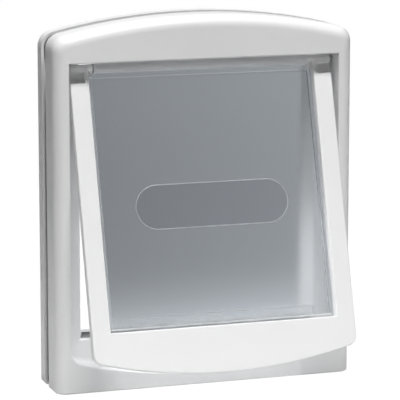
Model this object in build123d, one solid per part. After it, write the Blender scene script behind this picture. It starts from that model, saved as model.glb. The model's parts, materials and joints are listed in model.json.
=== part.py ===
from build123d import *

import os
from math import sqrt, tan, radians

# Two-way pet door for a house door. Two frames clamp the door leaf between them. In the front frame hang
# a flap frame, which opens outwards only, and behind it a clear panel, which opens inwards only.
# X runs along the width, +Y goes from the front into the door leaf and +Z is up. The origin is the middle
# of the front frame's rear rim, which lies on the door leaf. The flaps are drawn hanging straight down
# from the hinge axis and are then turned to their rest angle, a little open to the front.

# Outline shared by the front and the rear frame
FRAME_WIDTH = 294.0
FRAME_HEIGHT = 352.0
ARCH_RADIUS = 605.0
SHOULDER_RADIUS = 15.0
WALL = 2.5
FACE_LAND = 1.0

# Front frame: a hollow flange with a sunk bay that the flaps close into
FRONT_DEPTH = 31.0
FRONT_ROUND = 11.0
FRONT_FOOT_ROUND = 2.0
JAMB_WIDTH = 14.5
HEADER_DEPTH = 41.1
FLOOR_RISE = 12.1
BAY_DEPTH = 24.0
BAY_EDGE_ROUND = 1.6
BAY_FOOT_ROUND = 3.0
RIB_THICKNESS = 2.0
FRAME_RIB_PITCH = 60.0

# Passage for the pet and the sleeves that line the cut-out in the door leaf
PASSAGE_SIDE_GAP = 4.3
STOP_EDGE_ROUND = 2.0
SLEEVE_CLEARANCE = 0.4
SLEEVE_END_GAP = 0.5

# Rear frame
DOOR_GAP = 14.0
REAR_DEPTH = 17.0
REAR_ROUND = 4.0
REAR_FOOT_ROUND = 3.0
LIP_ROUND = 1.5

# Clamping screws, put in from the rear, with their caps
SCREW_SIDE_INSET = 35.0
SCREW_TOP_INSET = 26.0
SCREW_FOOT_INSET = 14.0
SCREW_RADIUS = 2.0
SCREW_BITE = 14.0
SCREW_HEAD_RADIUS = 4.0
SCREW_HEAD_HEIGHT = 2.4
SCREW_SLOT_WIDTH = 1.0
SCREW_SLOT_DEPTH = 1.0
SCREW_HOLE_CLEARANCE = 0.3
HEAD_CLEARANCE = 0.4
HEAD_SINK = 4.5
BOSS_WALL = 3.0
CAP_LAP = 1.8
CAP_HEIGHT = 1.4
CAP_BEVEL = 0.6
CAP_PLUG_GAP = 0.5

# Hinge: a rod, tight in the flap frame's ears and free in the front frame's bosses
ROD_RADIUS = 2.0
ROD_CLEARANCE = 0.06
ROD_SEAT = 6.0
ROD_END_PLAY = 1.0
HINGE_BOSS_RADIUS = 5.0
HINGE_BOSS_END = 2.0
EAR_RADIUS = 3.6
EAR_GAP = 0.9
BARREL_RADIUS = 5.2
BARREL_GAP = 1.4
REST_ANGLE = 16.5

# Flap frame: a U with no top rail, hollow at the back
FLAP_SIDE_GAP = 3.7
FLAP_THICKNESS = 7.0
RAIL_WIDTH = 18.1
FOOT_RAIL_HEIGHT = 44.0
SOLE_RADIUS = 480.0
SOLE_CLEARANCE = 2.2
FLAP_CORNER_RADIUS = 10.0
FLAP_EDGE_ROUND = 1.4
FLAP_WALL = 2.2
FLAP_RIB_PITCH = 48.0

# Clear panel that hangs behind the flap frame's window, moulded with one wall thickness
PANEL_LAP_SIDE = 2.0
PANEL_LAP_FOOT = 6.0
PANEL_CLEARANCE = 0.3
PANEL_SKIN = 2.0
PANEL_SHOULDER = 4.6
FIELD_RISE = 2.0
FIELD_MARGIN = 2.0
FIELD_TOP_DROP = 9.0
FIELD_BEVEL = 1.5
BADGE_WIDTH = 150.0
BADGE_HEIGHT = 42.0
BADGE_DROP = 132.5
BADGE_SINK = 0.5
FOOT_BAND_WIDTH = 180.0
FOOT_BAND_HEIGHT = 10.0
FOOT_BAND_RISE = 0.8

# Spacers on the rod, between the panel's barrel and the flap frame's ears
SPACER_RADIUS = 4.0
SPACER_WIDTH = 4.7
SPACER_PLAY = 1.0

# Magnets and the steel strips that they hold
MAGNET_CLEARANCE = 0.3
SILL_MAGNET_WIDTH = 40.0
SILL_MAGNET_DEPTH = 4.0
SILL_MAGNET_HEIGHT = 10.0
SILL_STRIP_WIDTH = 60.0
SILL_STRIP_DEPTH = 1.2
SILL_STRIP_HEIGHT = 10.0
SILL_STRIP_GAP = 0.9
STRIP_SEAT_MARGIN = 2.0
FLAP_MAGNET_WIDTH = 40.0
FLAP_MAGNET_HEIGHT = 8.0
FLAP_MAGNET_SINK = 0.4
PANEL_STRIP_WIDTH = 60.0
PANEL_STRIP_DEPTH = 0.8
PANEL_STRIP_MARGIN = 1.0

# Quiet pads on the flap frame and the pile seal on the sill
PAD_RADIUS = 3.5
PAD_HEIGHT = 2.0
PAD_CLEARANCE = 0.3
PAD_END_MARGIN = 50.0
PILE_BASE_WIDTH = 5.0
PILE_BASE_HEIGHT = 1.6
PILE_WIDTH = 3.4
PILE_HEIGHT = 5.0
PILE_GAP = 0.3
PILE_SETBACK = 0.6
PILE_END_GAP = 2.0

# Planes of the two frames
BOTTOM = -FRAME_HEIGHT / 2
TOP = FRAME_HEIGHT / 2
HEADER = TOP - HEADER_DEPTH
FLOOR = BOTTOM + FLOOR_RISE
OPENING_WIDTH = FRAME_WIDTH - 2 * JAMB_WIDTH
FRONT = -FRONT_DEPTH
STOP_FACE = FRONT + BAY_DEPTH
STOP_BACK = STOP_FACE + WALL
REAR_RIM = DOOR_GAP
REAR_BACK = REAR_RIM + REAR_DEPTH
SLEEVE_END = REAR_BACK - WALL - SLEEVE_END_GAP
REAR_SLEEVE_START = STOP_BACK + SLEEVE_END_GAP

# Hinge axis, and the flaps as they hang from it
HINGE_TO_STOP = EAR_RADIUS + EAR_GAP
HINGE_Y = STOP_FACE - HINGE_TO_STOP
HINGE_Z = HEADER - BARREL_GAP - BARREL_RADIUS
ROD_BORE_RADIUS = ROD_RADIUS + ROD_CLEARANCE
ROD_HALF_LENGTH = OPENING_WIDTH / 2 + ROD_SEAT
FLAP_WIDTH = OPENING_WIDTH - 2 * FLAP_SIDE_GAP
FLAP_BACK = HINGE_TO_STOP - PAD_CLEARANCE - PAD_HEIGHT
FLAP_FRONT = FLAP_BACK - FLAP_THICKNESS
SOLE_DROP = HINGE_Z - FLOOR - SOLE_CLEARANCE
WINDOW_WIDTH = FLAP_WIDTH - 2 * RAIL_WIDTH
WINDOW_DROP = SOLE_DROP - FOOT_RAIL_HEIGHT
PANEL_WIDTH = WINDOW_WIDTH + 2 * PANEL_LAP_SIDE
PANEL_DROP = WINDOW_DROP + PANEL_LAP_FOOT
PANEL_FRONT = FLAP_BACK + PANEL_CLEARANCE
PANEL_BACK = PANEL_FRONT + PANEL_SKIN
BARREL_WIDTH = WINDOW_WIDTH - 2 * (SPACER_WIDTH + SPACER_PLAY)

# Passage, which the panel swings through, and what lies on and under its sill
PASSAGE_WIDTH = PANEL_WIDTH + 2 * PASSAGE_SIDE_GAP
SILL = HINGE_Z - PANEL_DROP - PILE_GAP - PILE_HEIGHT
SILL_MAGNET_TOP = SILL - 2 * WALL - SLEEVE_CLEARANCE - MAGNET_CLEARANCE
SILL_STRIP_MIDDLE = SILL_MAGNET_TOP - SILL_MAGNET_HEIGHT / 2 - HINGE_Z

# Screw seats
SCREW_SEAT = REAR_BACK - HEAD_SINK
BOSS_RADIUS = SCREW_RADIUS + BOSS_WALL
HEAD_BORE_RADIUS = SCREW_HEAD_RADIUS + HEAD_CLEARANCE
CAP_PLUG_DEPTH = HEAD_SINK - SCREW_HEAD_HEIGHT - CAP_PLUG_GAP

SAME_PLACE = 0.01


def prism(sketch, start, end):
    """A sketch drawn in X and Z, drawn out along Y from start to end."""
    plane = Plane(origin=(0, start, 0), x_dir=(1, 0, 0), z_dir=(0, -1, 0))
    return extrude(plane * sketch, amount=start - end)


def block(x0, x1, y0, y1, z0, z1):
    """A box between two corners."""
    middle = Pos((x0 + x1) / 2, (y0 + y1) / 2, (z0 + z1) / 2)
    return middle * Box(x1 - x0, y1 - y0, z1 - z0)


def bar_y(radius, x, z, start, end):
    """A round bar along Y."""
    return Pos(x, (start + end) / 2, z) * Rot(X=90) * Cylinder(radius, end - start)


def bar_x(radius, start, end, y=0.0, z=0.0):
    """A round bar along X."""
    return Pos((start + end) / 2, y, z) * Rot(Y=90) * Cylinder(radius, end - start)


def edges_at_y(solid, y):
    """The edges that lie in the plane at y."""
    return solid.edges().filter_by_position(Axis.Y, y - SAME_PLACE, y + SAME_PLACE)


def edges_along(solid, sketch, y):
    """The edges in the plane at y that run along the border of a sketch drawn in X and Z."""
    border = edges_at_y(prism(sketch, y, y + WALL), y)

    def on_border(edge):
        return any(line.distance_to(edge @ 0.5) < SAME_PLACE for line in border)

    return [edge for edge in edges_at_y(solid, y) if on_border(edge)]


def spread(span, pitch):
    """Places one pitch apart about the middle of a span, as many as it holds."""
    count = int(span // pitch)
    return [(step - (count - 1) / 2) * pitch for step in range(count)]


def outline(inset=0.0):
    """Arch-topped outline of the frames, with rounded shoulders, moved inwards by inset."""
    half = FRAME_WIDTH / 2
    shoulder = TOP - ARCH_RADIUS + sqrt(ARCH_RADIUS**2 - half**2)
    sides = Polyline((half, shoulder), (half, BOTTOM), (-half, BOTTOM), (-half, shoulder))
    arch = ThreePointArc((-half, shoulder), (0, TOP), (half, shoulder))
    face = make_face([*sides.edges(), arch])
    shoulders = face.vertices().sort_by(Axis.Y)[2:]
    return offset(fillet(shoulders, SHOULDER_RADIUS), -inset, kind=Kind.INTERSECTION)


def bay(outset=0.0):
    """Outline of the sunk bay: square under the header, with a floor that follows the flap's sole."""
    half = OPENING_WIDTH / 2
    floor_radius = SOLE_RADIUS + SOLE_CLEARANCE
    foot = FLOOR + floor_radius - sqrt(floor_radius**2 - half**2)
    sides = Polyline((-half, foot), (-half, HEADER), (half, HEADER), (half, foot))
    floor = ThreePointArc((half, foot), (0, FLOOR), (-half, foot))
    face = make_face([*sides.edges(), floor])
    low_corners = face.vertices().sort_by(Axis.Y)[:2]
    rounded = fillet(low_corners, FLAP_CORNER_RADIUS + SOLE_CLEARANCE)
    return offset(rounded, outset, kind=Kind.INTERSECTION)


def passage(outset=0.0):
    """Section of the passage for the pet, from the sill to the header."""
    sketch = Pos(0, (HEADER + SILL) / 2) * Rectangle(PASSAGE_WIDTH, HEADER - SILL)
    return offset(sketch, outset, kind=Kind.INTERSECTION)


def flap_outline(inset=0.0):
    """Outline of the flap frame below the hinge axis, with the window left out."""
    half = FLAP_WIDTH / 2
    foot = -SOLE_DROP + SOLE_RADIUS - sqrt(SOLE_RADIUS**2 - half**2)
    sides = Polyline((-half, foot), (-half, 0), (half, 0), (half, foot))
    sole = ThreePointArc((half, foot), (0, -SOLE_DROP), (-half, foot))
    face = make_face([*sides.edges(), sole])
    face = fillet(face.vertices().sort_by(Axis.Y)[:2], FLAP_CORNER_RADIUS)
    window = Pos(0, -WINDOW_DROP / 2) * Rectangle(WINDOW_WIDTH, WINDOW_DROP)
    return offset(face, -inset) - offset(window, inset, kind=Kind.INTERSECTION)


def screw_places():
    """Centres of the four clamping screws in X and Z."""
    half = FRAME_WIDTH / 2 - SCREW_SIDE_INSET
    low = BOTTOM + SCREW_FOOT_INSET
    high = TOP - SCREW_TOP_INSET
    return [(x, z) for x in (-half, half) for z in (low, high)]


def pad_places():
    """Centres of the quiet pads in X and Z, where the flap frame's rails lie over the stop."""
    middle = (PASSAGE_WIDTH + FLAP_WIDTH) / 4
    high = -PAD_END_MARGIN
    low = PAD_END_MARGIN - WINDOW_DROP
    return [(x, z) for x in (-middle, middle) for z in (low, high)]


def hang(piece):
    """Hangs a piece drawn around the hinge axis in its place, at the rest angle."""
    return Pos(0, HINGE_Y, HINGE_Z) * Rot(X=-REST_ANGLE) * piece


def frame_shell(depth, wanted_round, face_width, foot_round):
    """Flange from 0 to depth along Y, well rounded at its front and less at its foot, and its inner space."""
    edge_round = min(wanted_round, face_width - FACE_LAND, SHOULDER_RADIUS - FACE_LAND)
    body = prism(outline(), 0, depth)
    foot = body.faces().sort_by(Axis.Z)[0]
    body = fillet([edge for edge in edges_at_y(body, 0) if edge not in foot.edges()], edge_round)
    foot = body.faces().sort_by(Axis.Z)[0]
    rim = edges_at_y(body, depth)
    body = fillet([edge for edge in foot.edges() if edge not in rim], foot_round)
    core = prism(outline(WALL), WALL, depth)
    inner_bevel = (edge_round - WALL) * (1 - tan(radians(45 / 2)))
    core = chamfer(edges_at_y(core, WALL), inner_bevel)
    return body, core


def front_frame():
    """Moulded front frame: hollow flange, flap bay with its stop, sleeve, ribs and bosses."""
    body, core = frame_shell(FRONT_DEPTH, FRONT_ROUND, JAMB_WIDTH - BAY_EDGE_ROUND, FRONT_FOOT_ROUND)
    body = Pos(0, FRONT, 0) * body
    core = Pos(0, FRONT, 0) * core
    tub = body & prism(bay(WALL), FRONT, STOP_BACK)
    hollow = core - tub

    ribs = Part()
    reach = FRAME_WIDTH / 2
    half_rib = RIB_THICKNESS / 2
    for place in spread(HEADER - FLOOR, FRAME_RIB_PITCH):
        middle = (HEADER + FLOOR) / 2 + place
        ribs += block(-reach, reach, FRONT, STOP_BACK, middle - half_rib, middle + half_rib)
    for place in spread(OPENING_WIDTH, FRAME_RIB_PITCH):
        ribs += block(place - half_rib, place + half_rib, FRONT, STOP_BACK, HEADER, TOP)
    for x, z in screw_places():
        ribs += bar_y(BOSS_RADIUS, x, z, FRONT, 0)
    rod_end = ROD_HALF_LENGTH + ROD_END_PLAY
    boss_end = rod_end + HINGE_BOSS_END
    ribs += bar_x(HINGE_BOSS_RADIUS, -boss_end, boss_end, HINGE_Y, HINGE_Z)

    frame = body - (hollow - ribs)
    frame += prism(passage(WALL), STOP_FACE, SLEEVE_END)
    frame -= prism(bay(), FRONT, STOP_FACE)
    frame -= prism(passage(), STOP_FACE, SLEEVE_END)
    frame = fillet(edges_along(frame, bay(), FRONT), BAY_EDGE_ROUND)
    stop_border = edges_along(frame, bay(), STOP_FACE)
    below_header = [edge for edge in stop_border if (edge @ 0.5).Z < HEADER - SAME_PLACE]
    frame = fillet(below_header, BAY_FOOT_ROUND)
    frame = fillet(edges_along(frame, passage(), STOP_FACE), STOP_EDGE_ROUND)
    for x, z in screw_places():
        frame -= bar_y(SCREW_RADIUS, x, z, -SCREW_BITE, 0)
    return frame - bar_x(ROD_BORE_RADIUS, -rod_end, rod_end, HINGE_Y, HINGE_Z)


def rear_frame():
    """Moulded rear frame: shallow hollow flange, a lip round the passage and the outer sleeve."""
    body, core = frame_shell(REAR_DEPTH, REAR_ROUND, REAR_DEPTH, REAR_FOOT_ROUND)
    turned = Pos(0, REAR_BACK, 0) * Rot(Z=180)
    frame = turned * (body - core)
    inner = WALL + SLEEVE_CLEARANCE
    frame += prism(passage(inner + WALL), REAR_SLEEVE_START, REAR_BACK - WALL)
    frame -= prism(passage(inner), REAR_SLEEVE_START, REAR_BACK - WALL)
    frame -= prism(passage(), REAR_BACK - WALL, REAR_BACK)
    frame = fillet(edges_along(frame, passage(), REAR_BACK), LIP_ROUND)
    for x, z in screw_places():
        frame += bar_y(HEAD_BORE_RADIUS + WALL, x, z, REAR_RIM, REAR_BACK)
        frame -= bar_y(SCREW_RADIUS + SCREW_HOLE_CLEARANCE, x, z, REAR_RIM, SCREW_SEAT)
        frame -= bar_y(HEAD_BORE_RADIUS, x, z, SCREW_SEAT, REAR_BACK)
    return frame


def frame_screws():
    """Four clamping screws with slotted heads."""
    screws = []
    reach = SCREW_HEAD_RADIUS
    half_slot = SCREW_SLOT_WIDTH / 2
    head_end = SCREW_SEAT + SCREW_HEAD_HEIGHT
    for x, z in screw_places():
        screw = bar_y(SCREW_RADIUS, x, z, -SCREW_BITE, SCREW_SEAT)
        screw += bar_y(SCREW_HEAD_RADIUS, x, z, SCREW_SEAT, head_end)
        slot_foot = head_end - SCREW_SLOT_DEPTH
        screw -= block(x - reach, x + reach, slot_foot, head_end, z - half_slot, z + half_slot)
        screws.append(screw)
    return Compound(screws)


def screw_caps():
    """Four domed caps that plug the screw bores in the rear frame."""
    caps = []
    cap_end = REAR_BACK + CAP_HEIGHT
    for x, z in screw_places():
        cap = bar_y(HEAD_BORE_RADIUS + CAP_LAP, x, z, REAR_BACK, cap_end)
        cap = chamfer(edges_at_y(cap, cap_end), CAP_BEVEL)
        cap += bar_y(HEAD_BORE_RADIUS, x, z, REAR_BACK - CAP_PLUG_DEPTH, REAR_BACK)
        caps.append(cap)
    return Compound(caps)


def sill_magnet():
    """Bar magnet behind the stop, in the hollow below the sill."""
    half = SILL_MAGNET_WIDTH / 2
    foot = SILL_MAGNET_TOP - SILL_MAGNET_HEIGHT
    return block(-half, half, STOP_BACK, STOP_BACK + SILL_MAGNET_DEPTH, foot, SILL_MAGNET_TOP)


def sill_pile():
    """Pile weather strip on the sill, under the foot of the panel: a woven base and its pile."""
    half = PASSAGE_WIDTH / 2 - PILE_END_GAP
    front = STOP_BACK + PILE_SETBACK
    pile_front = front + (PILE_BASE_WIDTH - PILE_WIDTH) / 2
    base = block(-half, half, front, front + PILE_BASE_WIDTH, SILL, SILL + PILE_BASE_HEIGHT)
    return base + block(-half, half, pile_front, pile_front + PILE_WIDTH, SILL, SILL + PILE_HEIGHT)


def flap_frame():
    """Moulded flap frame with hinge ears, a hollow back, ribs and seats for the pads and the strip."""
    frame = prism(flap_outline(), FLAP_FRONT, FLAP_BACK)
    front_edges = edges_at_y(frame, FLAP_FRONT)
    top_edges = front_edges.filter_by_position(Axis.Z, -SAME_PLACE, SAME_PLACE)
    frame = fillet([edge for edge in front_edges if edge not in top_edges], FLAP_EDGE_ROUND)

    seats = Part()
    outer = FLAP_WIDTH / 2
    inner = WINDOW_WIDTH / 2
    half_rib = RIB_THICKNESS / 2
    for place in spread(WINDOW_DROP, FLAP_RIB_PITCH):
        middle = place - WINDOW_DROP / 2
        seats += block(-outer, outer, FLAP_FRONT, FLAP_BACK, middle - half_rib, middle + half_rib)
    for place in spread(WINDOW_WIDTH, FLAP_RIB_PITCH):
        seats += block(place - half_rib, place + half_rib, FLAP_FRONT, FLAP_BACK, -SOLE_DROP, -WINDOW_DROP)
    for x, z in pad_places():
        seats += bar_y(PAD_RADIUS, x, z, FLAP_FRONT, FLAP_BACK)
    pocket = prism(flap_outline(FLAP_WALL), FLAP_FRONT + FLAP_WALL, FLAP_BACK)
    frame -= pocket - (seats - flap_magnet())

    half_x = SILL_STRIP_WIDTH / 2 + STRIP_SEAT_MARGIN
    half_z = SILL_STRIP_HEIGHT / 2 + STRIP_SEAT_MARGIN
    seat_back = HINGE_TO_STOP - SILL_STRIP_GAP - SILL_STRIP_DEPTH
    low = SILL_STRIP_MIDDLE - half_z
    high = SILL_STRIP_MIDDLE + half_z
    frame += block(-half_x, half_x, FLAP_FRONT + FLAP_WALL, seat_back, low, high)
    for start, end in ((-outer, -inner), (inner, outer)):
        frame += bar_x(EAR_RADIUS, start, end)
    return frame - bar_x(ROD_RADIUS, -outer, outer)


def hinge_rod():
    """Steel rod, tight in the flap frame's ears and free in the front frame and the panel."""
    return bar_x(ROD_RADIUS, -ROD_HALF_LENGTH, ROD_HALF_LENGTH)


def spacer(side):
    """Ring on the rod that keeps the panel's barrel off a flap frame ear."""
    far = WINDOW_WIDTH / 2
    low, high = sorted((side * (far - SPACER_WIDTH), side * far))
    return bar_x(SPACER_RADIUS, low, high) - bar_x(ROD_RADIUS, low, high)


def flap_magnet():
    """Bar magnet behind the face of the flap frame's foot, which holds the panel's steel strip."""
    half = FLAP_MAGNET_WIDTH / 2
    high = -WINDOW_DROP - FLAP_WALL
    return block(
        -half, half, FLAP_FRONT + FLAP_WALL, FLAP_BACK - FLAP_MAGNET_SINK, high - FLAP_MAGNET_HEIGHT, high
    )


def sill_strip():
    """Steel strip on the back of the flap frame, which meets the magnet in the sill."""
    half = SILL_STRIP_WIDTH / 2
    back = HINGE_TO_STOP - SILL_STRIP_GAP
    low = SILL_STRIP_MIDDLE - SILL_STRIP_HEIGHT / 2
    return block(-half, half, back - SILL_STRIP_DEPTH, back, low, low + SILL_STRIP_HEIGHT)


def flap_pads():
    """Quiet pads on the back of the flap frame, which meet the stop."""
    pads = [bar_y(PAD_RADIUS, x, z, FLAP_BACK, FLAP_BACK + PAD_HEIGHT) for x, z in pad_places()]
    return Compound(pads)


def clear_panel():
    """Moulded clear panel: hinge barrel, a raised field, hollow behind, a sunk badge and a foot band."""
    half = PANEL_WIDTH / 2
    neck = BARREL_WIDTH / 2
    panel = block(-half, half, PANEL_FRONT, PANEL_BACK, -PANEL_DROP, -PANEL_SHOULDER)
    panel += block(-neck, neck, PANEL_FRONT, PANEL_BACK, -PANEL_SHOULDER, 0)

    field_half = WINDOW_WIDTH / 2 - FIELD_MARGIN
    field_front = PANEL_FRONT - FIELD_RISE
    field_foot = FIELD_MARGIN - WINDOW_DROP
    field = block(-field_half, field_half, field_front, PANEL_FRONT, field_foot, -FIELD_TOP_DROP)
    panel += chamfer(edges_at_y(field, field_front), FIELD_BEVEL)
    badge = Pos(0, -BADGE_DROP) * SlotOverall(BADGE_WIDTH, BADGE_HEIGHT)
    panel -= prism(badge, field_front, field_front + BADGE_SINK)

    field_back = field_front + PANEL_SKIN
    hollow_half = field_half - PANEL_SKIN
    hollow_foot = field_foot + PANEL_SKIN
    hollow_top = -FIELD_TOP_DROP - PANEL_SKIN
    panel -= block(-hollow_half, hollow_half, field_back, PANEL_BACK, hollow_foot, hollow_top)
    band_half = FOOT_BAND_WIDTH / 2
    band_top = field_foot + FOOT_BAND_HEIGHT
    band_back = field_back + FOOT_BAND_RISE
    panel += block(-band_half, band_half, field_back, band_back, hollow_foot, band_top)
    panel += bar_x(BARREL_RADIUS, -neck, neck)
    return panel - bar_x(ROD_BORE_RADIUS, -neck, neck)


def panel_strip():
    """Steel strip on the back of the panel, at the foot that the flap frame hides."""
    half = PANEL_STRIP_WIDTH / 2
    low = PANEL_STRIP_MARGIN - PANEL_DROP
    high = -WINDOW_DROP - PANEL_STRIP_MARGIN
    return block(-half, half, PANEL_BACK, PANEL_BACK + PANEL_STRIP_DEPTH, low, high)


def all_parts():
    """Every piece by its node name, in its place."""
    return {
        "front_frame": front_frame(),
        "rear_frame": rear_frame(),
        "frame_screws": frame_screws(),
        "screw_caps": screw_caps(),
        "sill_magnet": sill_magnet(),
        "sill_pile": sill_pile(),
        "flap_frame": hang(flap_frame()),
        "hinge_rod": hang(hinge_rod()),
        "spacer_left": hang(spacer(-1)),
        "spacer_right": hang(spacer(1)),
        "flap_magnet": hang(flap_magnet()),
        "sill_strip": hang(sill_strip()),
        "flap_pads": hang(flap_pads()),
        "clear_panel": hang(clear_panel()),
        "panel_strip": hang(panel_strip()),
    }


def main():
    """Writes one file for each piece."""
    os.makedirs("parts", exist_ok=True)
    for name, piece in all_parts().items():
        export_step(piece, f"parts/{name}.step")


main()
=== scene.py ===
# %% [markdown]
# # A two-way pet door
# This lesson dresses a pet door: two clamped white frames, a white flap frame that opens outwards and a
# clear panel that opens inwards. The shapes of the rigid mouldings come from the CAD frame, which is loaded
# first. Blender adds what CAD leaves plain: the finishes, the softened edges of the clear moulding, the rim
# of its badge, the recesses in the head of the flap frame, the tufts of the pile strip, the felt pads and
# the light.

# %% Load the frame
import json
import math

import bpy
from mathutils import Matrix, Vector


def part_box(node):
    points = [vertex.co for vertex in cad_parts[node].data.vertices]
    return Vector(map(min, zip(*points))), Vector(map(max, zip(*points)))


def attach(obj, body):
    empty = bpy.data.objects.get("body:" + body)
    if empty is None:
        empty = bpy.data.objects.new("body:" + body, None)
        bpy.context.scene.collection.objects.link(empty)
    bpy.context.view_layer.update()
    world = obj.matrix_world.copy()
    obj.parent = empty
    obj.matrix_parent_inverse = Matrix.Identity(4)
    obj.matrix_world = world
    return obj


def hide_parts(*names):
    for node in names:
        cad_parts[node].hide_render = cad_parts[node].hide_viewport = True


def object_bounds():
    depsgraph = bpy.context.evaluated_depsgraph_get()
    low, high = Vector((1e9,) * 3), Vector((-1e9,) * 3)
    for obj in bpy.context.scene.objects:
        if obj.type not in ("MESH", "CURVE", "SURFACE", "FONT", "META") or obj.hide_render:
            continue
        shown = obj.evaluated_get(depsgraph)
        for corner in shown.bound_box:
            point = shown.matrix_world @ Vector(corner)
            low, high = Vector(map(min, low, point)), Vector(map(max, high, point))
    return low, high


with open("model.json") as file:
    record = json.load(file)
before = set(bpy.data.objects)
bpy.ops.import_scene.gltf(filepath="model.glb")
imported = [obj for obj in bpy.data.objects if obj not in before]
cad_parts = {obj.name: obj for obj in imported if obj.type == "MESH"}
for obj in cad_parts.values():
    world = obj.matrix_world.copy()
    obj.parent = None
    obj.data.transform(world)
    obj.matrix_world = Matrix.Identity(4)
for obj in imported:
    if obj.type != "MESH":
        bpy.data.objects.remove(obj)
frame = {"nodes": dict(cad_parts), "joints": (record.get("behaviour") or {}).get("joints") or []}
nodes = frame["nodes"]
cad_low, cad_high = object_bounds()
print("CAD box in metres:", [round(value, 4) for value in (*cad_low, *cad_high)])

# %% [markdown]
# ## Where the flaps hang
# The flap frame and the clear panel hang from one hinge axis and rest a little open. Places on them are
# easiest to name in the flap's own directions: across, from front to back, and down from the hinge. One
# matrix takes such a place to the shared frame. The hinge and its angle come from the joint in the record.

# %% Hinge matrix
MM = 0.001
swing = next(joint for joint in frame["joints"] if joint["name"] == "flap_swing")
hinge = Vector(swing["pos_m"])
rest_angle = math.radians(-swing["range_deg"][0])
hang = Matrix.Translation(hinge) @ Matrix.Rotation(-rest_angle, 4, "X")
unhang = hang.inverted()
print("hinge at", [round(value, 4) for value in hinge])
print("open at rest by", round(math.degrees(rest_angle), 1), "degrees")

# %% [markdown]
# ## Helpers for finishes
# A finish is a node tree with one Principled shader at its end. Constant values are set on the shader's own
# sockets. What changes over the surface is built from textures on Object coordinates, so that it stays in
# place when the flaps move. Small helpers add a node and link two sockets, which keeps the recipes short.

# %% Node helpers
def add_node(tree, kind, **settings):
    """A new node of one kind, with its settings."""
    node = tree.nodes.new(kind)
    for name, value in settings.items():
        setattr(node, name, value)
    return node


def link(tree, source, target):
    """Links one socket to another."""
    tree.links.new(source, target)


def new_finish(name):
    """A material with an empty node tree, a Principled shader and an output."""
    finish = bpy.data.materials.new(name)
    finish.use_nodes = True
    tree = finish.node_tree
    tree.nodes.clear()
    shader = add_node(tree, "ShaderNodeBsdfPrincipled")
    output = add_node(tree, "ShaderNodeOutputMaterial")
    link(tree, shader.outputs["BSDF"], output.inputs["Surface"])
    return finish, tree, shader, output


def wear(piece, *finishes):
    """Gives a piece its finishes, one for each material slot."""
    piece.data.materials.clear()
    for finish in finishes:
        piece.data.materials.append(finish)


# %% [markdown]
# ## Moulded skin and hairlines, shared by the finishes
# A moulded surface is never quite even: the tool's fine grain shows as tiny bumps, and slow waves in the
# gloss show where the plastic cooled at different speeds. Handling leaves hairlines that show only in the
# gloss. Each effect is a node group with named inputs, so that every plastic uses it with its own values.

# %% The moulded skin group
def moulded_skin_group():
    """Node group: slow waves and fine grain on Object coordinates."""
    group = bpy.data.node_groups.new("moulded_skin", "ShaderNodeTree")
    for name, default in (("Wave scale", 9.0), ("Grain scale", 1800.0)):
        socket = group.interface.new_socket(name, in_out="INPUT", socket_type="NodeSocketFloat")
        socket.default_value = default
    for name in ("Waves", "Grain"):
        group.interface.new_socket(name, in_out="OUTPUT", socket_type="NodeSocketFloat")
    source = add_node(group, "NodeGroupInput")
    result = add_node(group, "NodeGroupOutput")
    place = add_node(group, "ShaderNodeTexCoord")
    for scale, output, detail in (("Wave scale", "Waves", 2.0), ("Grain scale", "Grain", 3.0)):
        noise = add_node(group, "ShaderNodeTexNoise")
        noise.inputs["Detail"].default_value = detail
        link(group, place.outputs["Object"], noise.inputs["Vector"])
        link(group, source.outputs[scale], noise.inputs["Scale"])
        link(group, noise.outputs["Fac"], result.inputs[output])
    return group


moulded_skin = moulded_skin_group()
print("group", moulded_skin.name, "with", len(moulded_skin.nodes), "nodes")

# %% The hairlines group
HAIR_TURNS = ((0.3, 0.4, 0.5), (-0.5, 0.2, -0.9))
HAIR_STRETCH = (25.0, 900.0, 900.0)
HAIR_START = 0.66
HAIR_FULL = 0.74


def hairlines_group():
    """Node group: sparse fine lines in two directions, from noise that is drawn out along one axis."""
    group = bpy.data.node_groups.new("hairlines", "ShaderNodeTree")
    amount = group.interface.new_socket("Amount", in_out="INPUT", socket_type="NodeSocketFloat")
    amount.default_value = 0.3
    group.interface.new_socket("Lines", in_out="OUTPUT", socket_type="NodeSocketFloat")
    source = add_node(group, "NodeGroupInput")
    result = add_node(group, "NodeGroupOutput")
    place = add_node(group, "ShaderNodeTexCoord")
    masks = []
    for turn in HAIR_TURNS:
        stretch = add_node(group, "ShaderNodeMapping")
        stretch.inputs["Rotation"].default_value = turn
        stretch.inputs["Scale"].default_value = HAIR_STRETCH
        noise = add_node(group, "ShaderNodeTexNoise")
        noise.inputs["Scale"].default_value = 1.0
        noise.inputs["Detail"].default_value = 1.0
        line = add_node(group, "ShaderNodeMapRange")
        line.inputs["From Min"].default_value = HAIR_START
        line.inputs["From Max"].default_value = HAIR_FULL
        link(group, place.outputs["Object"], stretch.inputs["Vector"])
        link(group, stretch.outputs["Vector"], noise.inputs["Vector"])
        link(group, noise.outputs["Fac"], line.inputs["Value"])
        masks.append(line.outputs["Result"])
    both = add_node(group, "ShaderNodeMath", operation="MAXIMUM")
    share = add_node(group, "ShaderNodeMath", operation="MULTIPLY")
    link(group, masks[0], both.inputs[0])
    link(group, masks[1], both.inputs[1])
    link(group, both.outputs["Value"], share.inputs[0])
    link(group, source.outputs["Amount"], share.inputs[1])
    link(group, share.outputs["Value"], result.inputs["Lines"])
    return group


hairlines = hairlines_group()
print("group", hairlines.name, "with", len(hairlines.nodes), "nodes")

# %% Placing the groups in a finish
def add_skin(tree, wave_scale, grain_scale):
    """Places the moulded skin group in a finish."""
    skin = add_node(tree, "ShaderNodeGroup", node_tree=moulded_skin)
    skin.inputs["Wave scale"].default_value = wave_scale
    skin.inputs["Grain scale"].default_value = grain_scale
    return skin


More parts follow.
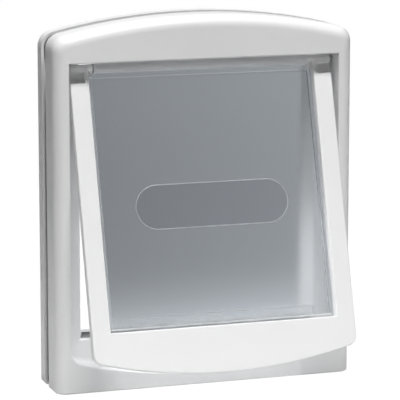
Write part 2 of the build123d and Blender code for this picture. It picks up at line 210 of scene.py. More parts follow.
def spread_between(tree, value, low, high):
    """Turns a value from 0 to 1 into one between low and high."""
    spread = add_node(tree, "ShaderNodeMapRange")
    spread.inputs["To Min"].default_value = low
    spread.inputs["To Max"].default_value = high
    link(tree, value, spread.inputs["Value"])
    return spread.outputs["Result"]


def gloss(tree, shader, waves, low, high, line_amount):
    """Roughness between low and high in slow waves, with hairlines on top."""
    lines = add_node(tree, "ShaderNodeGroup", node_tree=hairlines)
    lines.inputs["Amount"].default_value = line_amount
    total = add_node(tree, "ShaderNodeMath", operation="ADD")
    link(tree, spread_between(tree, waves, low, high), total.inputs[0])
    link(tree, lines.outputs["Lines"], total.inputs[1])
    link(tree, total.outputs["Value"], shader.inputs["Roughness"])


def tone_between(tree, shader, value, pale, deep):
    """Base colour between a pale and a deeper tone."""
    tone = add_node(tree, "ShaderNodeMix", data_type="RGBA")
    tone.inputs["A"].default_value = (*deep, 1.0)
    tone.inputs["B"].default_value = (*pale, 1.0)
    link(tree, value, tone.inputs["Factor"])
    link(tree, tone.outputs["Result"], shader.inputs["Base Color"])


def add_bump(tree, height, shader, strength, distance):
    """Feeds a height to the shader's normal."""
    bump = add_node(tree, "ShaderNodeBump")
    bump.inputs["Strength"].default_value = strength
    bump.inputs["Distance"].default_value = distance
    link(tree, height, bump.inputs["Height"])
    link(tree, bump.outputs["Normal"], shader.inputs["Normal"])


# %% [markdown]
# ## White plastic
# The frames, the flap frame, the spacers and the caps are white plastic with a satin surface. The colour
# varies by a hair with the slow waves, and so does the gloss. The flap frame's white is painted a shade
# lighter than the frames': painted light for its face, which tilts up towards the lamps. It gets its finish
# later, with its recesses.

# %% White plastic
def white_plastic(name, pale, deep):
    """Satin white plastic, between a pale and a slightly deeper tone."""
    finish, tree, shader, _ = new_finish(name)
    skin = add_skin(tree, wave_scale=9.0, grain_scale=1800.0)
    tone_between(tree, shader, skin.outputs["Waves"], pale, deep)
    gloss(tree, shader, skin.outputs["Waves"], low=0.34, high=0.46, line_amount=0.06)
    add_bump(tree, skin.outputs["Grain"], shader, strength=0.12, distance=0.2 * MM)
    return finish


frame_white = white_plastic("frame_white", pale=(0.86, 0.86, 0.86), deep=(0.83, 0.83, 0.83))
# Painted light: the flap's white is a shade lighter than the frames', for its face tilted up towards the
# lamps.
flap_lit_white = white_plastic("flap_lit_white", pale=(0.92, 0.92, 0.92), deep=(0.90, 0.90, 0.90))
FRAME_NODES = ("front_frame", "rear_frame", "screw_caps")
FLAP_NODES = ("spacer_left", "spacer_right")
for node in FRAME_NODES:
    wear(nodes[node], frame_white)
for node in FLAP_NODES:
    wear(nodes[node], flap_lit_white)
print("white plastic on", len(FRAME_NODES) + len(FLAP_NODES), "nodes")

# %% [markdown]
# ## Clear plastic
# The panel is a clear moulding with a cool, faintly smoky tint and a soft haze, so that what lies far
# behind it blurs. The light of the lamps reaches the passage through it, dimmed: a shadow ray sees a plain
# tinted sheet instead of the refracting shader. The barrel and the narrow borders are matt from the tool,
# the badge's floor has a deeper tint, and the badge's rim is a little cloudy.

# %% Clear plastic
ACRYLIC_IOR = 1.49
SHADOW_TINT = (0.72, 0.72, 0.72)


def clear_plastic(name, tint, rough_low, rough_high, clearness):
    """Clear plastic with a haze in slow waves, and a plain tinted shadow."""
    finish, tree, shader, output = new_finish(name)
    shader.inputs["Base Color"].default_value = (*tint, 1.0)
    shader.inputs["Transmission Weight"].default_value = clearness
    shader.inputs["IOR"].default_value = ACRYLIC_IOR
    skin = add_skin(tree, wave_scale=14.0, grain_scale=900.0)
    gloss(tree, shader, skin.outputs["Waves"], rough_low, rough_high, line_amount=0.05)
    add_bump(tree, skin.outputs["Grain"], shader, strength=0.02, distance=0.1 * MM)
    sheet = add_node(tree, "ShaderNodeBsdfTransparent")
    sheet.inputs["Color"].default_value = (*SHADOW_TINT, 1.0)
    rays = add_node(tree, "ShaderNodeLightPath")
    mix = add_node(tree, "ShaderNodeMixShader")
    link(tree, rays.outputs["Is Shadow Ray"], mix.inputs["Fac"])
    link(tree, shader.outputs["BSDF"], mix.inputs[1])
    link(tree, sheet.outputs["BSDF"], mix.inputs[2])
    link(tree, mix.outputs["Shader"], output.inputs["Surface"])
    return finish


panel_clear = clear_plastic(
    "panel_clear", tint=(0.87, 0.90, 0.925), rough_low=0.17, rough_high=0.22, clearness=1.0
)
panel_matt = clear_plastic(
    "panel_matt", tint=(0.93, 0.94, 0.95), rough_low=0.48, rough_high=0.58, clearness=0.35
)
badge_floor = clear_plastic(
    "badge_floor", tint=(0.62, 0.645, 0.69), rough_low=0.12, rough_high=0.18, clearness=1.0
)
side_border = clear_plastic(
    "side_border", tint=(0.86, 0.885, 0.91), rough_low=0.28, rough_high=0.36, clearness=0.9
)
rim_clear = clear_plastic(
    "rim_clear", tint=(0.70, 0.715, 0.74), rough_low=0.30, rough_high=0.40, clearness=0.7
)
clear_finishes = (panel_clear, panel_matt, badge_floor, side_border, rim_clear)
print("clear finishes:", [finish.name for finish in clear_finishes])

# %% [markdown]
# ## Working on one piece
# An operator acts on all that is selected, and loading leaves the CAD nodes selected. So each step starts
# by selecting one piece alone. A modifier is applied as soon as its settings are made.

# %% Piece helpers
MERGE_DISTANCE = 0.001 * MM
FLAT_ANGLE = math.radians(0.5)
SHARP_ANGLE = math.radians(40.0)
FLAT_WEIGHT = 100
EDGE_SEGMENTS = 2


def select_only(piece):
    """Selects one piece and makes it active."""
    bpy.ops.object.select_all(action="DESELECT")
    piece.select_set(True)
    bpy.context.view_layer.objects.active = piece


def apply_modifier(piece, modifier):
    """Applies one modifier of a piece."""
    select_only(piece)
    bpy.ops.object.modifier_apply(modifier=modifier.name)


def shade_flats(piece):
    """Shades a piece smoothly, so that its flat faces stay flat."""
    select_only(piece)
    bpy.ops.object.shade_smooth_by_angle(angle=SHARP_ANGLE)
    flat = piece.modifiers.new("flat_faces", "WEIGHTED_NORMAL")
    flat.weight = FLAT_WEIGHT
    flat.keep_sharp = True
    apply_modifier(piece, flat)


def soften_edges(piece, width):
    """Rounds the sharp edges of a piece and shades it."""
    bevel = piece.modifiers.new("edge_round", "BEVEL")
    bevel.width = width
    bevel.segments = EDGE_SEGMENTS
    bevel.limit_method = "ANGLE"
    bevel.angle_limit = SHARP_ANGLE
    apply_modifier(piece, bevel)
    shade_flats(piece)


def place_in_flap(piece):
    """Hangs a piece that was drawn in the flap's own directions, with its place in its mesh."""
    piece.data.transform(hang)
    piece.data.update()


def stand_for(piece, node, body):
    """Lets a piece stand for a CAD node: it goes on the node's body, and the node is hidden."""
    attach(piece, body)
    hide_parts(node)


# %% [markdown]
# ## Clear panel
# A clear moulding shows every edge as a bright or dark line, and a mathematically sharp edge shows none. So
# the panel becomes a copy of the CAD mesh: its loose triangles are merged, flat regions are joined, and a
# narrow bevel rounds the sharp edges. Then the faces are sorted by their place on the flap: the barrel round
# the hinge, the borders, the badge's floor and the clear field.

# %% Copy and round the panel
PANEL_EDGE = 0.25 * MM


def merged_copy(node, name):
    """A copy of a CAD node with its loose triangles merged into whole faces."""
    piece = bpy.data.objects.new(name, nodes[node].data.copy())
    bpy.context.scene.collection.objects.link(piece)
    select_only(piece)
    bpy.ops.object.mode_set(mode="EDIT")
    bpy.ops.mesh.select_all(action="SELECT")
    bpy.ops.mesh.remove_doubles(threshold=MERGE_DISTANCE)
    bpy.ops.mesh.dissolve_limited(angle_limit=FLAT_ANGLE)
    bpy.ops.object.mode_set(mode="OBJECT")
    bpy.ops.mesh.customdata_custom_splitnormals_clear()
    return piece


panel = merged_copy("clear_panel", "moulded_panel")
soften_edges(panel, PANEL_EDGE)
print("panel with", len(panel.data.polygons), "faces after its edges are rounded")

# %% Sort the panel's faces
BARREL_REACH = 5.6 * MM
FIELD_HALF = 107.1 * MM
FIELD_FOOT = -242.4 * MM
BAND_TOP = -234.0 * MM
BADGE_DROP = -132.5 * MM
BADGE_HALF_RUN = 54.0 * MM
BADGE_RADIUS = 21.0 * MM
BADGE_FLOOR = 1.0 * MM
FLOOR_REACH = 0.1 * MM
BAND_REACH = 0.3 * MM
UPWARD = 0.7
FORWARD = -0.2
CLEAR, MATT, BADGE, BORDER = 0, 1, 2, 3


def badge_distance(place):
    """Distance of a place from the badge's middle line, in the plane of the field."""
    past_end = max(abs(place.x) - BADGE_HALF_RUN, 0.0)
    return math.hypot(past_end, place.z - BADGE_DROP)


def panel_slot(place, facing):
    """The finish of a face of the panel, by its place and direction on the hanging flap."""
    if math.hypot(place.y, place.z) < BARREL_REACH:
        return MATT
    if facing.z > UPWARD and abs(place.z - BAND_TOP) < BAND_REACH:
        return MATT
    if facing.y > FORWARD:
        return CLEAR
    if place.z < FIELD_FOOT:
        return MATT
    if abs(place.x) > FIELD_HALF:
        return BORDER
    if abs(place.y - BADGE_FLOOR) < FLOOR_REACH and badge_distance(place) < BADGE_RADIUS:
        return BADGE
    return CLEAR


wear(panel, panel_clear, panel_matt, badge_floor, side_border)
turn_back = unhang.to_3x3()
for face in panel.data.polygons:
    face.material_index = panel_slot(unhang @ face.center, turn_back @ face.normal)
slots = (CLEAR, MATT, BADGE, BORDER)
counts = [sum(face.material_index == slot for face in panel.data.polygons) for slot in slots]
stand_for(panel, "clear_panel", "panel")
print("panel faces: clear, matt, badge, border =", counts)

# %% [markdown]
# ## Rim of the badge
# The badge's edge is a fine bright line. It is a low rim, made from a plane: its corners are rounded into a
# stadium, by a hair less than half its height so that they don't meet. Then a ring is inset, the middle is
# taken out, and the ring is drawn up. The badge itself stays bare. A fine raised line, a slim bar with
# rounded edges, runs over the foot band.

# %% Rim of the badge
RIM_WIDTH = 0.7 * MM
RIM_HEIGHT = 0.6 * MM
RIM_ROUND = RIM_WIDTH / 4
RIM_SEGMENTS = 18
RIM_MERGE = 0.02 * MM
CORNER_SHARE = 0.9999
bpy.ops.object.select_all(action="DESELECT")
bpy.ops.mesh.primitive_plane_add(size=1.0)
rim = bpy.context.object
rim.name = "badge_rim"
rim.scale = (2 * (BADGE_HALF_RUN + BADGE_RADIUS), 2 * BADGE_RADIUS, 1.0)
bpy.ops.object.transform_apply(location=False, rotation=False, scale=True)
bpy.ops.object.mode_set(mode="EDIT")
bpy.ops.mesh.select_all(action="SELECT")
bpy.ops.mesh.bevel(offset=BADGE_RADIUS * CORNER_SHARE, segments=RIM_SEGMENTS, affect="VERTICES")
bpy.ops.mesh.select_all(action="SELECT")
bpy.ops.mesh.remove_doubles(threshold=RIM_MERGE)
bpy.ops.mesh.inset(thickness=RIM_WIDTH)
bpy.ops.mesh.delete(type="FACE")
bpy.ops.mesh.select_all(action="SELECT")
bpy.ops.mesh.extrude_region_move(TRANSFORM_OT_translate={"value": (0, 0, RIM_HEIGHT)})
bpy.ops.mesh.select_all(action="SELECT")
bpy.ops.mesh.normals_make_consistent(inside=False)
bpy.ops.object.mode_set(mode="OBJECT")
soften_edges(rim, RIM_ROUND)
stand_up = Matrix.Translation((0, BADGE_FLOOR, BADGE_DROP)) @ Matrix.Rotation(math.pi / 2, 4, "X")
rim.data.transform(stand_up)
place_in_flap(rim)
wear(rim, rim_clear)
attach(rim, "panel")
print("badge rim with", len(rim.data.polygons), "faces")

# %% Line over the foot band
LINE_HALF = 90.0 * MM
LINE_HEIGHT = 0.7 * MM
LINE_PROUD = 0.2 * MM
LINE_SUNK = 0.3 * MM
LINE_ROUND = LINE_PROUD * 0.8
FIELD_FRONT = 0.5 * MM
bpy.ops.object.select_all(action="DESELECT")
bpy.ops.mesh.primitive_cube_add(size=1.0)
band_line = bpy.context.object
band_line.name = "band_line"
band_line.scale = (2 * LINE_HALF, LINE_PROUD + LINE_SUNK, LINE_HEIGHT)
band_line.location = (0.0, FIELD_FRONT + (LINE_SUNK - LINE_PROUD) / 2, BAND_TOP)
bpy.ops.object.transform_apply(location=True, rotation=False, scale=True)
soften_edges(band_line, LINE_ROUND)
place_in_flap(band_line)
wear(band_line, rim_clear)
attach(band_line, "panel")
print("line over the foot band with", len(band_line.data.polygons), "faces")

# %% [markdown]
# ## Recesses of the flap frame
# Under each ear the photo shows a dark recess: the head of the rail is cut away there, and only a narrow arm
# beside the window joins the ear to the rail. So the flap frame becomes a merged copy too. In the head of
# each rail a block is joined to it, with a heel under the spacer, and a smaller box with rounded edges is cut
# from that block, which leaves a thin wall at the back.

# %% Cut the recesses
ARM_INNER = 114.3 * MM
ARM_OUTER = 131.0 * MM
RECESS_TOP = -4.3 * MM
RECESS_FOOT = -14.5 * MM
RECESS_ROUND = 1.2 * MM
RAIL_INNER = 111.5 * MM
RAIL_OUTER = 128.0 * MM
BLOCK_TOP = -0.5 * MM
BLOCK_FOOT = -17.0 * MM
BLOCK_ROUND = 0.1 * MM
HEEL_INNER = 107.4 * MM
HEEL_TOP = -4.1 * MM
HEEL_FOOT = -8.6 * MM
HEEL_SHORT = 0.5 * MM
HEEL_ROUND = 0.4 * MM
BOX_SEGMENTS = 3
FRONT_CLEAR = -12.0 * MM
BLOCK_FRONT = -2.4 * MM
RECESS_BACK = 1.4 * MM
BLOCK_BACK = 2.4 * MM


def rail_box(side, low, high, edge_round):
    """A box between two corners over the head of one rail, in the flap's own directions."""
    bpy.ops.object.select_all(action="DESELECT")
    bpy.ops.mesh.primitive_cube_add(size=1.0)
    box = bpy.context.object
    box.name = "rail_box"
    box.scale = Vector(high) - Vector(low)
    middle = (Vector(high) + Vector(low)) / 2
    box.location = (side * middle.x, middle.y, middle.z)
    bpy.ops.object.transform_apply(location=True, rotation=False, scale=True)
    bevel = box.modifiers.new("box_round", "BEVEL")
    bevel.width = edge_round
    bevel.segments = BOX_SEGMENTS
    apply_modifier(box, bevel)
    place_in_flap(box)
    return box


def combine(piece, box, operation):
    """Joins a box to a piece or cuts it from the piece, and takes the box away."""
    change = piece.modifiers.new("rail_head", "BOOLEAN")
    change.operation = operation
    change.solver = "EXACT"
    change.object = box
    apply_modifier(piece, change)
    bpy.data.objects.remove(box)


flap = merged_copy("flap_frame", "moulded_flap")
block_low = (RAIL_INNER, BLOCK_FRONT, BLOCK_FOOT)
block_high = (RAIL_OUTER, BLOCK_BACK, BLOCK_TOP)
heel_low = (HEEL_INNER, BLOCK_FRONT, HEEL_FOOT)
heel_high = (ARM_INNER - HEEL_SHORT, BLOCK_BACK, HEEL_TOP)
recess_low = (ARM_INNER, FRONT_CLEAR, RECESS_FOOT)
recess_high = (ARM_OUTER, RECESS_BACK, RECESS_TOP)
for side in (-1, 1):
    combine(flap, rail_box(side, block_low, block_high, BLOCK_ROUND), "UNION")
    combine(flap, rail_box(side, heel_low, heel_high, HEEL_ROUND), "UNION")
    combine(flap, rail_box(side, recess_low, recess_high, RECESS_ROUND), "DIFFERENCE")
shade_flats(flap)
wear(flap, flap_lit_white)
stand_for(flap, "flap_frame", "flap")
print("flap frame with", len(flap.data.polygons), "faces after its recesses are cut")

# %% [markdown]
# ## Steel, magnets and felt
# The screws, the hinge rod and the strips are zinc-plated steel with a fine spangle. The magnets are
# sintered and dark. The felt is pressed fibre: it has no gloss, and its colour and height both vary.

# %% Small finishes
def small_finish(name, pale, deep, metallic, rough, grain_scale, bump):
    """A small piece's finish: a tone that varies with its grain, in its gloss and its bumps too."""
    finish, tree, shader, _ = new_finish(name)
    shader.inputs["Metallic"].default_value = metallic
    skin = add_skin(tree, wave_scale=220.0, grain_scale=grain_scale)
    tone_between(tree, shader, skin.outputs["Waves"], pale, deep)
    link(tree, spread_between(tree, skin.outputs["Grain"], *rough), shader.inputs["Roughness"])
    add_bump(tree, skin.outputs["Grain"], shader, strength=bump, distance=0.3 * MM)
    return finish


steel = small_finish(
    "plated_steel", pale=(0.68, 0.68, 0.69), deep=(0.54, 0.54, 0.56),
    metallic=1.0, rough=(0.25, 0.45), grain_scale=2500.0, bump=0.05,
)
magnet = small_finish(
    "sintered_magnet", pale=(0.05, 0.05, 0.055), deep=(0.02, 0.02, 0.022),
    metallic=0.0, rough=(0.5, 0.75), grain_scale=2500.0, bump=0.3,
)
felt = small_finish(
    "pressed_felt", pale=(0.70, 0.70, 0.69), deep=(0.52, 0.52, 0.51),
    metallic=0.0, rough=(0.85, 1.0), grain_scale=3000.0, bump=0.6,
)
for node in ("frame_screws", "hinge_rod", "sill_strip", "panel_strip"):
    wear(nodes[node], steel)
for node in ("sill_magnet", "flap_magnet"):
    wear(nodes[node], magnet)
print("small finishes:", steel.name, magnet.name, felt.name)

# %% [markdown]
# ## Quiet pads
# Four felt discs sit on the back of the flap frame, where it meets the stop. Felt has no sharp edge: a disc
# is rounded, its face is divided, and every point is moved a little at random with a fixed seed. One disc is
# modelled and copied three times, each copy with its own mesh, and the four are joined into one piece.

# %% Quiet pads
PAD_RADIUS = 3.4 * MM
PAD_HEIGHT = 1.9 * MM
PAD_BACK = 2.2 * MM
PAD_LIFT = 0.05 * MM
PAD_SIDES = 32
PAD_ROUND = 0.5 * MM
PAD_SEGMENTS = 3
PAD_ACROSS = 122.9 * MM
PAD_DROPS = (50.0 * MM, 196.0 * MM)
PAD_PLACES = [(side * PAD_ACROSS, -drop) for side in (-1, 1) for drop in PAD_DROPS]
FELT_STRAY = 0.05 * MM
FELT_SEED = 7


def felt_disc():
    """One felt disc round the origin, drawn along the flap's depth."""
    bpy.ops.object.select_all(action="DESELECT")
    bpy.ops.mesh.primitive_cylinder_add(
        vertices=PAD_SIDES, radius=PAD_RADIUS, depth=PAD_HEIGHT, end_fill_type="NGON"
    )
    disc = bpy.context.object
    bpy.ops.object.mode_set(mode="EDIT")
    bpy.ops.mesh.select_all(action="SELECT")
    bpy.ops.mesh.bevel(offset=PAD_ROUND, segments=PAD_SEGMENTS, affect="EDGES")
    bpy.ops.mesh.select_all(action="SELECT")
    bpy.ops.mesh.poke()
    bpy.ops.mesh.subdivide(number_cuts=1)
    bpy.ops.transform.vertex_random(offset=FELT_STRAY, uniform=1.0, seed=FELT_SEED)
    bpy.ops.object.mode_set(mode="OBJECT")
    disc.data.transform(Matrix.Rotation(math.pi / 2, 4, "X"))
    return disc


first_disc = felt_disc()
discs = [first_disc]
while len(discs) < len(PAD_PLACES):
    select_only(first_disc)
    bpy.ops.object.duplicate()
    discs.append(bpy.context.object)
pad_depth = PAD_BACK + PAD_HEIGHT / 2 + PAD_LIFT
for disc, (across, height) in zip(discs, PAD_PLACES):
    disc.data.transform(Matrix.Translation((across, pad_depth, height)))
bpy.ops.object.select_all(action="DESELECT")
for disc in discs:
    disc.select_set(True)
bpy.context.view_layer.objects.active = first_disc
bpy.ops.object.join()
pads = bpy.context.object
pads.name = "felt_pads"
place_in_flap(pads)
select_only(pads)
bpy.ops.object.shade_smooth_by_angle(angle=SHARP_ANGLE)
wear(pads, felt)
stand_for(pads, "flap_pads", "flap")
print("felt pads with", len(pads.data.polygons), "faces")

# %% [markdown]
# ## Pile strip
# The seal on the sill is a weather strip: a woven tape with rows of cut yarn that stand up from it. The tape
# is a flat bar with rounded edges. One tuft of yarn is a slim cone with few faces, set in rows by two array
# modifiers. Then every point is moved a little at random, with a fixed seed, because cut yarn is never even.

# %% Tape of the pile strip
pile_low, pile_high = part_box("sill_pile")
TAPE_HEIGHT = 1.2 * MM
TAPE_ROUND = 0.3 * MM
STRIP_END = 1.5 * MM
strip_middle = (pile_low + pile_high) / 2
strip_length = pile_high.x - pile_low.x + 2 * STRIP_END

bpy.ops.object.select_all(action="DESELECT")
bpy.ops.mesh.primitive_cube_add(size=1.0)
tape = bpy.context.object
tape.name = "pile_tape"
tape.scale = (strip_length, pile_high.y - pile_low.y, TAPE_HEIGHT)
tape.location = (strip_middle.x, strip_middle.y, pile_low.z + TAPE_HEIGHT / 2)
bpy.ops.object.transform_apply(location=True, rotation=False, scale=True)
soften_edges(tape, TAPE_ROUND)
print("tape is", round(strip_length / MM), "mm long")

# %% Tufts of the pile strip
TUFT_PITCH = 1.1 * MM
TUFT_ROWS = 4
TUFT_WIDTH = 3.0 * MM
TUFT_SIDES = 5
TUFT_FOOT = 0.62 * MM
TUFT_TIP = 0.34 * MM
TUFT_SHORT = 0.15 * MM
ROW_SHIFT = 0.4 * MM
YARN_STRAY = 0.12 * MM
YARN_SEED = 3
tuft_height = pile_high.z - pile_low.z - TAPE_HEIGHT - TUFT_SHORT
tuft_count = int((strip_length - TUFT_PITCH) / TUFT_PITCH)
row_step = TUFT_WIDTH / TUFT_ROWS
bpy.ops.object.select_all(action="DESELECT")
bpy.ops.mesh.primitive_cone_add(
    vertices=TUFT_SIDES, radius1=TUFT_FOOT, radius2=TUFT_TIP, depth=tuft_height, end_fill_type="TRIFAN"
)
tufts = bpy.context.object
tufts.name = "pile_tufts"
bpy.ops.object.mode_set(mode="EDIT")
bpy.ops.mesh.select_all(action="SELECT")
bpy.ops.mesh.subdivide(number_cuts=1)
bpy.ops.object.mode_set(mode="OBJECT")
first_tuft = Vector((
    strip_middle.x - (tuft_count - 1) * TUFT_PITCH / 2,
    strip_middle.y - (TUFT_ROWS - 1) * row_step / 2,
    pile_low.z + TAPE_HEIGHT + tuft_height / 2,
))
tufts.data.transform(Matrix.Translation(first_tuft))
rows = (
    ("along", tuft_count, (TUFT_PITCH, 0, 0)),
    ("across", TUFT_ROWS, (ROW_SHIFT, row_step, 0)),
)
for name, count, step in rows:
    array = tufts.modifiers.new(name, "ARRAY")
    array.count = count
    array.use_relative_offset = False
    array.use_constant_offset = True
    array.constant_offset_displace = step
    apply_modifier(tufts, array)
bpy.ops.object.mode_set(mode="EDIT")
bpy.ops.mesh.select_all(action="SELECT")
bpy.ops.transform.vertex_random(offset=YARN_STRAY, uniform=1.0, seed=YARN_SEED)
bpy.ops.object.mode_set(mode="OBJECT")
select_only(tufts)
bpy.ops.object.shade_smooth_by_angle(angle=SHARP_ANGLE)
print(tuft_count * TUFT_ROWS, "tufts with", len(tufts.data.polygons), "faces")

# %% [markdown]
# The yarn is a grey that is darker at its cut tips, and lighter and darker from tuft to tuft. The tape is
# woven: fine ribs run across it. Both colours come from waves and noise on Object coordinates.

# %% Yarn and tape finishes
YARN_TIP = 2.2 * MM


def yarn_finish():
    """Grey yarn, with darker tips and tufts of uneven tone."""
    finish, tree, shader, _ = new_finish("grey_yarn")
    shader.inputs["Roughness"].default_value = 0.95
    skin = add_skin(tree, wave_scale=900.0, grain_scale=4000.0)
    place = add_node(tree, "ShaderNodeTexCoord")
    axes = add_node(tree, "ShaderNodeSeparateXYZ")
    link(tree, place.outputs["Object"], axes.inputs["Vector"])
    height = add_node(tree, "ShaderNodeMapRange")
    height.inputs["From Min"].default_value = pile_high.z
    height.inputs["From Max"].default_value = pile_high.z - YARN_TIP
    link(tree, axes.outputs["Z"], height.inputs["Value"])
    share = add_node(tree, "ShaderNodeMath", operation="MULTIPLY")
    link(tree, height.outputs["Result"], share.inputs[0])
    uneven = spread_between(tree, skin.outputs["Waves"], low=0.5, high=1.4)
    link(tree, uneven, share.inputs[1])
    tone_between(tree, shader, share.outputs["Value"], pale=(0.36, 0.36, 0.365), deep=(0.15, 0.15, 0.155))
    add_bump(tree, skin.outputs["Grain"], shader, strength=0.5, distance=0.1 * MM)
    return finish


def tape_finish():
    """Woven grey tape: ribs across it, in its tone and its height."""
    finish, tree, shader, _ = new_finish("woven_tape")
    shader.inputs["Roughness"].default_value = 0.85
    place = add_node(tree, "ShaderNodeTexCoord")
    ribs = add_node(tree, "ShaderNodeTexWave", bands_direction="X")
    ribs.inputs["Scale"].default_value = 420.0
    ribs.inputs["Distortion"].default_value = 1.2
    link(tree, place.outputs["Object"], ribs.inputs["Vector"])
    tone_between(tree, shader, ribs.outputs["Fac"], pale=(0.42, 0.42, 0.425), deep=(0.22, 0.22, 0.225))
    add_bump(tree, ribs.outputs["Fac"], shader, strength=0.6, distance=0.15 * MM)
    return finish


wear(tufts, yarn_finish())
wear(tape, tape_finish())
for piece in (tape, tufts):
    stand_for(piece, "sill_pile", "frame")
print("pile strip dressed")

# %% [markdown]
# ## Floor, backdrop, light and camera
# The set is a pale floor under a white sky. Seen through the clear panel, the far end of the studio is a
# calm grey: a backdrop stands behind the door, which only rays that went through the panel can see. A Light
# Path node picks those rays. The grey is a little lighter to the right, and lighter near the floor. The
# floor's colour is painted palest close to the door, a painted pool of light, so that more light comes from
# below.
# A wide key lamp stands over the front, two weaker lamps light the top and the back, and a small narrow one
# behind the door brightens the right wall of the passage.

# %% Floor and backdrop
FLOOR_SIZE = 30.0
BACKDROP_Y = 0.45
BACKDROP_SIZE = 4.0
VIEW_SLANT = 0.335
SIDE_REACH = 0.15
COOL_RED = 0.96
COOL_BLUE = 1.04


def stage_plane(name, size, place, tilt):
    """A square plane, tilted about the X axis and moved to its place."""
    bpy.ops.object.select_all(action="DESELECT")
    bpy.ops.mesh.primitive_plane_add(size=size)
    plane = bpy.context.object
    plane.name = name
    plane.data.transform(Matrix.Translation(place) @ Matrix.Rotation(tilt, 4, "X"))
    return plane


floor = stage_plane("floor", FLOOR_SIZE, (0, 0, cad_low.z), 0.0)
backdrop_middle = (0, BACKDROP_Y, cad_low.z + BACKDROP_SIZE / 2)
backdrop = stage_plane("backdrop", BACKDROP_SIZE, backdrop_middle, math.pi / 2)


def grey_light(tree, axis, near, far, levels, sides):
    """A grey that follows levels along one axis and drifts from one side factor to the other."""
    place = add_node(tree, "ShaderNodeTexCoord")
    axes = add_node(tree, "ShaderNodeSeparateXYZ")
    link(tree, place.outputs["Object"], axes.inputs["Vector"])
    along = add_node(tree, "ShaderNodeMapRange")
    along.inputs["From Min"].default_value = near
    along.inputs["From Max"].default_value = far
    link(tree, axes.outputs[axis], along.inputs["Value"])
    ramp = add_node(tree, "ShaderNodeValToRGB")
    ramp.color_ramp.interpolation = "EASE"
    while len(ramp.color_ramp.elements) < len(levels):
        ramp.color_ramp.elements.new(1.0)
    for stop, (spot, level) in zip(ramp.color_ramp.elements, levels):
        stop.position = spot
        stop.color = (level * COOL_RED, level, level * COOL_BLUE, 1.0)
    link(tree, along.outputs["Result"], ramp.inputs["Fac"])
    drift = add_node(tree, "ShaderNodeMath", operation="MULTIPLY_ADD")
    drift.inputs[1].default_value = -VIEW_SLANT
    link(tree, axes.outputs["Y"], drift.inputs[0])
    link(tree, axes.outputs["X"], drift.inputs[2])
    side = add_node(tree, "ShaderNodeMapRange")
    side.inputs["From Min"].default_value = -SIDE_REACH
    side.inputs["From Max"].default_value = SIDE_REACH
    side.inputs["To Min"].default_value = sides[0]
    side.inputs["To Max"].default_value = sides[1]
    link(tree, drift.outputs["Value"], side.inputs["Value"])
    grey = add_node(tree, "ShaderNodeEmission")
    link(tree, ramp.outputs["Color"], grey.inputs["Color"])
    link(tree, side.outputs["Result"], grey.inputs["Strength"])
    return grey


FLOOR_LEVELS = ((0.0, 0.98), (0.35, 0.74), (0.65, 0.46), (1.0, 0.34))
WALL_LEVELS = ((0.0, 0.33), (0.35, 0.32), (0.7, 0.345), (1.0, 0.34))
SIDE_FACTORS = (0.80, 1.10)
# Painted pool of light on the floor: its colour is palest near the door and darkest from the far reach on.
LIGHT_POOL_NEAR = 0.35
LIGHT_POOL_FAR = 1.0
GREY_NEAR = 0.05
VEIL_LIGHT = 1.05
VEIL_SHARE = 0.95


def floor_finish():
    """Pale floor with a painted pool of light near the door, white to the camera and grey behind the clear
    panel.
    """
    finish, tree, shader, output = new_finish("pale_floor")
    shader.inputs["Roughness"].default_value = 0.9
    place = add_node(tree, "ShaderNodeTexCoord")
    reach = add_node(tree, "ShaderNodeVectorMath", operation="LENGTH")
    link(tree, place.outputs["Object"], reach.inputs[0])
    # Painted pool of light: the floor's colour fades from pale near the door to dark further out.
    light_pool = add_node(tree, "ShaderNodeMapRange")
    light_pool.inputs["From Min"].default_value = LIGHT_POOL_FAR
    light_pool.inputs["From Max"].default_value = LIGHT_POOL_NEAR
    link(tree, reach.outputs["Value"], light_pool.inputs["Value"])
    tone_between(tree, shader, light_pool.outputs["Result"], pale=(0.74, 0.74, 0.74), deep=(0.20, 0.20, 0.20))
    glow = add_node(tree, "ShaderNodeEmission")
    glow.inputs["Strength"].default_value = VEIL_LIGHT
    rays = add_node(tree, "ShaderNodeLightPath")
    veil = add_node(tree, "ShaderNodeMath", operation="MULTIPLY")
    veil.inputs[1].default_value = VEIL_SHARE
    link(tree, rays.outputs["Is Camera Ray"], veil.inputs[0])
    seen = add_node(tree, "ShaderNodeMixShader")
    link(tree, veil.outputs["Value"], seen.inputs["Fac"])
    link(tree, shader.outputs["BSDF"], seen.inputs[1])
    link(tree, glow.outputs["Emission"], seen.inputs[2])
    grey = grey_light(tree, "Y", GREY_NEAR, BACKDROP_Y, FLOOR_LEVELS, SIDE_FACTORS)
    behind = add_node(tree, "ShaderNodeMixShader")
    link(tree, rays.outputs["Is Transmission Ray"], behind.inputs["Fac"])
    link(tree, seen.outputs["Shader"], behind.inputs[1])
    link(tree, grey.outputs["Emission"], behind.inputs[2])
    link(tree, behind.outputs["Shader"], output.inputs["Surface"])
    return finish


def backdrop_finish():
    """Grey to rays that went through the panel, and not there for all others."""
    finish, tree, shader, output = new_finish("grey_backdrop")
    tree.nodes.remove(shader)
    rays = add_node(tree, "ShaderNodeLightPath")
    nothing = add_node(tree, "ShaderNodeBsdfTransparent")
    grey = grey_light(tree, "Z", cad_low.z, cad_high.z, WALL_LEVELS, SIDE_FACTORS)
    behind = add_node(tree, "ShaderNodeMixShader")
    link(tree, rays.outputs["Is Transmission Ray"], behind.inputs["Fac"])
    link(tree, nothing.outputs["BSDF"], behind.inputs[1])
    link(tree, grey.outputs["Emission"], behind.inputs[2])
    link(tree, behind.outputs["Shader"], output.inputs["Surface"])
    return finish


wear(floor, floor_finish())
wear(backdrop, backdrop_finish())
print("floor at", round(cad_low.z, 4), "and backdrop at", BACKDROP_Y)

# %% Sky
SKY_LEFT = 0.09
SKY_RIGHT = 0.02
SKY_BEHIND_PANEL = 0.24


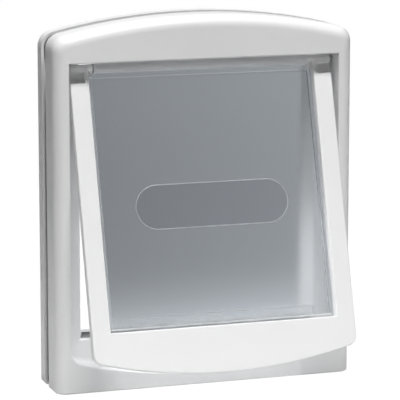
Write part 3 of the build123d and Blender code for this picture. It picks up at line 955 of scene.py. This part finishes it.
def white_sky():
    """White to the camera, softer as a light and dimmer at the right, and grey behind the panel."""
    world = bpy.data.worlds.new("white_sky")
    bpy.context.scene.world = world
    world.use_nodes = True
    tree = world.node_tree
    tree.nodes.clear()
    rays = add_node(tree, "ShaderNodeLightPath")
    place = add_node(tree, "ShaderNodeTexCoord")
    axes = add_node(tree, "ShaderNodeSeparateXYZ")
    link(tree, place.outputs["Generated"], axes.inputs["Vector"])
    sides = add_node(tree, "ShaderNodeMapRange")
    sides.inputs["From Min"].default_value = -1.0
    sides.inputs["From Max"].default_value = 1.0
    sides.inputs["To Min"].default_value = SKY_LEFT
    sides.inputs["To Max"].default_value = SKY_RIGHT
    link(tree, axes.outputs["X"], sides.inputs["Value"])
    level = add_node(tree, "ShaderNodeMix", data_type="FLOAT")
    level.inputs["B"].default_value = 1.0
    link(tree, rays.outputs["Is Camera Ray"], level.inputs["Factor"])
    link(tree, sides.outputs["Result"], level.inputs["A"])
    behind = add_node(tree, "ShaderNodeMix", data_type="FLOAT")
    behind.inputs["B"].default_value = SKY_BEHIND_PANEL
    link(tree, rays.outputs["Is Transmission Ray"], behind.inputs["Factor"])
    link(tree, level.outputs["Result"], behind.inputs["A"])
    background = add_node(tree, "ShaderNodeBackground")
    link(tree, behind.outputs["Result"], background.inputs["Strength"])
    output = add_node(tree, "ShaderNodeOutputWorld")
    link(tree, background.outputs["Background"], output.inputs["Surface"])


white_sky()
print("sky from", SKY_LEFT, "at the left to", SKY_RIGHT, "at the right")

# %% Lamps
def softbox(name, place, aim, width, height, power, spread=180.0):
    """An area lamp at a place, turned towards a point, with its light spread over an angle."""
    data = bpy.data.lights.new(name, "AREA")
    data.shape = "RECTANGLE"
    data.size = width
    data.size_y = height
    data.energy = power
    data.spread = math.radians(spread)
    lamp = bpy.data.objects.new(name, data)
    bpy.context.scene.collection.objects.link(lamp)
    lamp.location = place
    lamp.rotation_mode = "QUATERNION"
    lamp.rotation_quaternion = (Vector(aim) - Vector(place)).to_track_quat("-Z", "Y")
    return lamp


DOOR_MIDDLE = (0, 0, 0)
PASSAGE_WALL = (0.1155, -0.012, -0.10)
lamps = [
    softbox("key_lamp", (-0.1, -1.8, 3.6), DOOR_MIDDLE, width=2.0, height=0.8, power=158.0),
    softbox("top_lamp", (-0.3, 0.3, 2.8), DOOR_MIDDLE, width=1.0, height=0.8, power=27.0),
    softbox("back_lamp", (-0.5, 1.9, 1.5), DOOR_MIDDLE, width=1.2, height=0.8, power=2.0),
    softbox(
        "passage_lamp", (-0.08, 0.17, -0.06), PASSAGE_WALL, width=0.04, height=0.04, power=0.025, spread=50.0
    ),
]
for lamp in lamps:
    lamp.visible_transmission = False
print("lamps:", [lamp.name for lamp in lamps])

# %% Camera
CAMERA_PLACE = Vector((-0.732, -2.1938, 0.4178))
CAMERA_TURN = math.radians(18.54)
CAMERA_DIP = math.radians(10.33)
CAMERA_LENS = 222.2
forward = Vector((
    math.sin(CAMERA_TURN) * math.cos(CAMERA_DIP),
    math.cos(CAMERA_TURN) * math.cos(CAMERA_DIP),
    -math.sin(CAMERA_DIP),
))
camera_data = bpy.data.cameras.new("photo_camera")
camera_data.lens = CAMERA_LENS
camera = bpy.data.objects.new("photo_camera", camera_data)
bpy.context.scene.collection.objects.link(camera)
camera.location = CAMERA_PLACE
camera.rotation_mode = "QUATERNION"
camera.rotation_quaternion = forward.to_track_quat("-Z", "Y")
bpy.context.scene.camera = camera
bpy.context.scene.view_settings.view_transform = "Standard"
angles = [round(math.degrees(angle), 1) for angle in (CAMERA_TURN, CAMERA_DIP)]
print("camera turned and dipped by", angles, "degrees")
